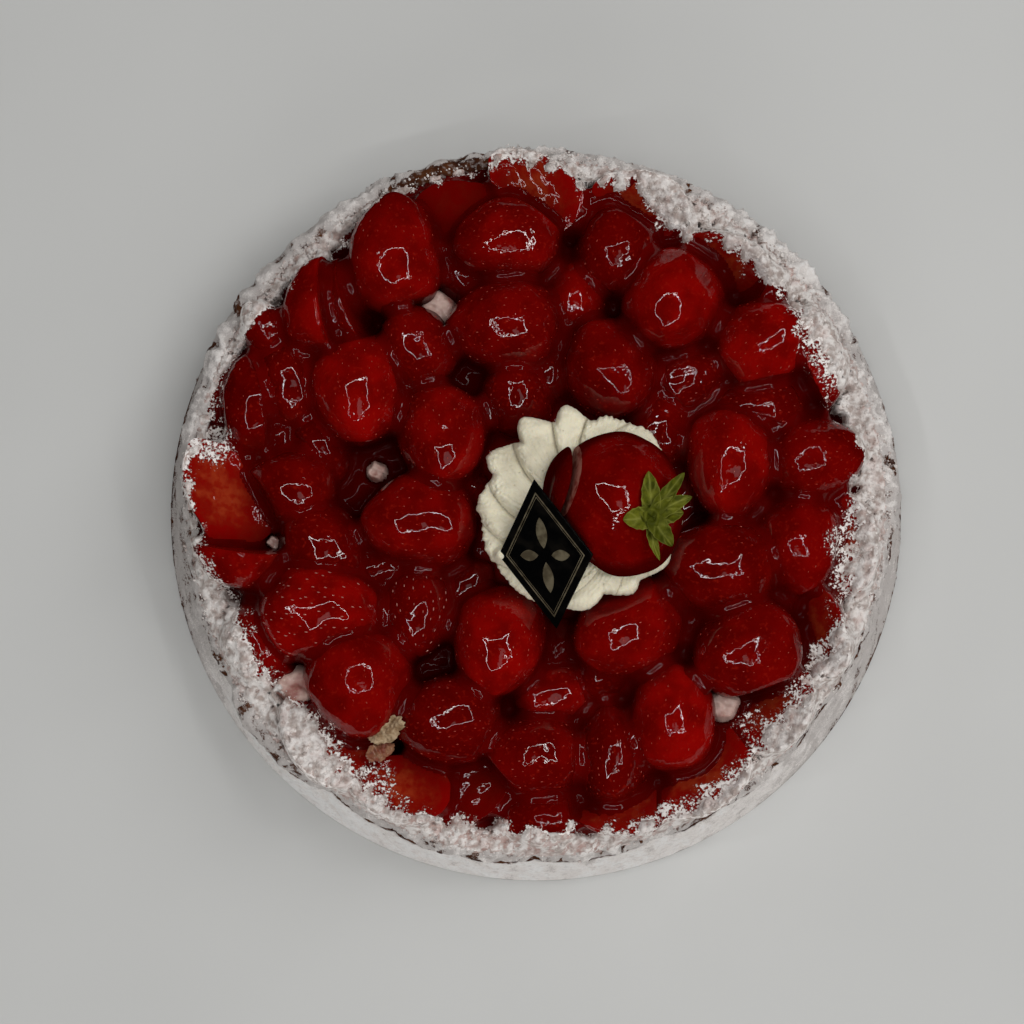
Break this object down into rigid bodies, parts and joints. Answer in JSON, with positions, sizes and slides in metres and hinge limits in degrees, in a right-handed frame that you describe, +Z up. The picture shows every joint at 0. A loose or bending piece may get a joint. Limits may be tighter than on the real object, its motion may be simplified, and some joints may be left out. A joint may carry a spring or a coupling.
{
  "type": "strawberry tart",
  "caption": "Round strawberry tart: sugared pastry case with cream, heaped with glazed strawberries, a piped cream rosette, a garnish berry and a plain black plaque",
  "frame": {"origin": "the middle of the flat underside of the pastry case, on the surface it stands on", "axes": "+Z is up, through the fruit; the tart is round in plan, +X and +Y are the right and the top of the view from above, and the garnish berry lies on the +X side of the rosette with its tip to -X"},
  "size_m": [0.22, 0.22, 0.0664],
  "materials": {
    "sugared_pastry": "baked shortcrust under a thick dusting of icing sugar",
    "pastry_cream": "smooth cream",
    "whipped_cream": "soft satin piped cream",
    "glazed_strawberry": "deep red berries under a wet clear-red glaze",
    "strawberry_leaf": "soft green leaf",
    "black_plaque": "black satin card with thin dull gold lines"
  },
  "bodies": {
    "root": {"pastry_case": "sugared_pastry", "cream_filling": "pastry_cream", "cream_rosette": "whipped_cream", "garnish_strawberry": "glazed_strawberry", "garnish_slice": "glazed_strawberry", "calyx": "strawberry_leaf", "plaque": "black_plaque", "strawberry_01": "glazed_strawberry", "strawberry_half_02": "glazed_strawberry", "strawberry_slice_03": "glazed_strawberry", "strawberry_04": "glazed_strawberry", "strawberry_half_05": "glazed_strawberry", "strawberry_06": "glazed_strawberry", "strawberry_half_07": "glazed_strawberry", "strawberry_08": "glazed_strawberry", "strawberry_09": "glazed_strawberry", "strawberry_10": "glazed_strawberry", "strawberry_11": "glazed_strawberry", "strawberry_12": "glazed_strawberry", "strawberry_13": "glazed_strawberry", "strawberry_half_14": "glazed_strawberry", "strawberry_15": "glazed_strawberry", "strawberry_16": "glazed_strawberry", "strawberry_17": "glazed_strawberry", "strawberry_half_18": "glazed_strawberry", "strawberry_half_19": "glazed_strawberry", "strawberry_20": "glazed_strawberry", "strawberry_21": "glazed_strawberry", "strawberry_22": "glazed_strawberry", "strawberry_23": "glazed_strawberry", "strawberry_24": "glazed_strawberry", "strawberry_25": "glazed_strawberry", "strawberry_26": "glazed_strawberry", "strawberry_half_27": "glazed_strawberry", "strawberry_half_28": "glazed_strawberry", "strawberry_half_29": "glazed_strawberry", "strawberry_half_30": "glazed_strawberry", "strawberry_31": "glazed_strawberry", "strawberry_32": "glazed_strawberry", "strawberry_33": "glazed_strawberry", "strawberry_half_34": "glazed_strawberry", "strawberry_half_35": "glazed_strawberry", "strawberry_half_36": "glazed_strawberry", "strawberry_37": "glazed_strawberry", "strawberry_38": "glazed_strawberry", "strawberry_39": "glazed_strawberry", "strawberry_40": "glazed_strawberry", "strawberry_41": "glazed_strawberry", "strawberry_half_42": "glazed_strawberry", "strawberry_half_43": "glazed_strawberry", "strawberry_44": "glazed_strawberry", "strawberry_45": "glazed_strawberry", "strawberry_46": "glazed_strawberry", "strawberry_47": "glazed_strawberry", "strawberry_48": "glazed_strawberry", "strawberry_49": "glazed_strawberry", "strawberry_50": "glazed_strawberry", "strawberry_half_51": "glazed_strawberry", "strawberry_half_52": "glazed_strawberry", "strawberry_half_53": "glazed_strawberry"}
  },
  "joints": []
}
